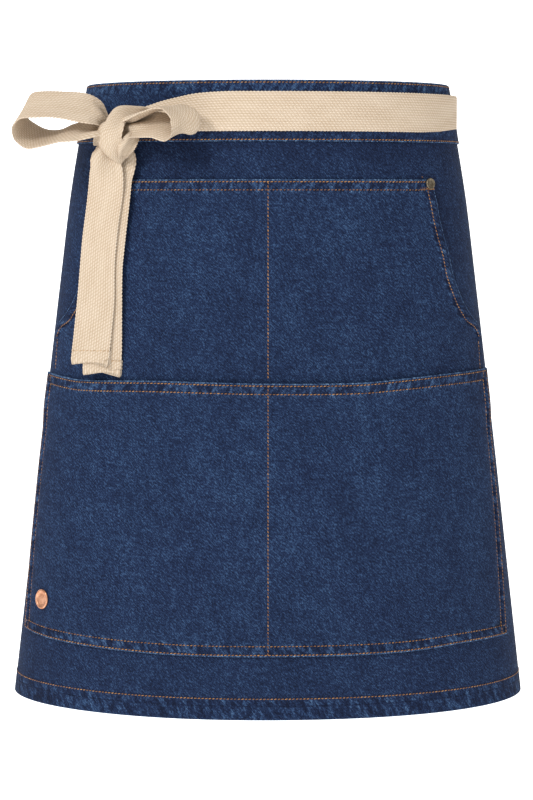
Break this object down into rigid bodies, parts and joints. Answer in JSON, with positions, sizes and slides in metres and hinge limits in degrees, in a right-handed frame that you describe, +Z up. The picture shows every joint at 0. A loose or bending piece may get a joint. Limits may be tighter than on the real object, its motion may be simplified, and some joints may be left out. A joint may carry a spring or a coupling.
{
  "type": "waist apron",
  "caption": "Half apron of stiff denim with a wide waistband, a wide pouch with curved side openings over a second pocket, and a webbing belt tied in a bow.",
  "frame": {"origin": "middle of the waist, at the height of the belt's centre line", "axes": "+Z up towards the waistband's top edge, the front of the apron faces -Y, +X to the wearer's left"},
  "size_m": [0.5268, 0.2864, 0.622],
  "materials": {
    "panel_denim": "matte indigo denim",
    "waistband_denim": "matte indigo denim, worn along the edges",
    "pocket_denim": "matte indigo denim",
    "webbing": "matte woven cotton tape",
    "rivet_metal": "antique brass",
    "badge_metal": "brushed copper"
  },
  "bodies": {
    "root": {"apron_panel": "panel_denim", "waistband": "waistband_denim", "upper_pocket": "pocket_denim", "lower_pocket": "pocket_denim", "belt": "webbing", "knot": "webbing", "bow_loop_left": "webbing", "bow_loop_right": "webbing", "tail_front": "webbing", "tail_back": "webbing", "rivet_left": "rivet_metal", "rivet_right": "rivet_metal", "badge": "badge_metal"}
  },
  "joints": []
}
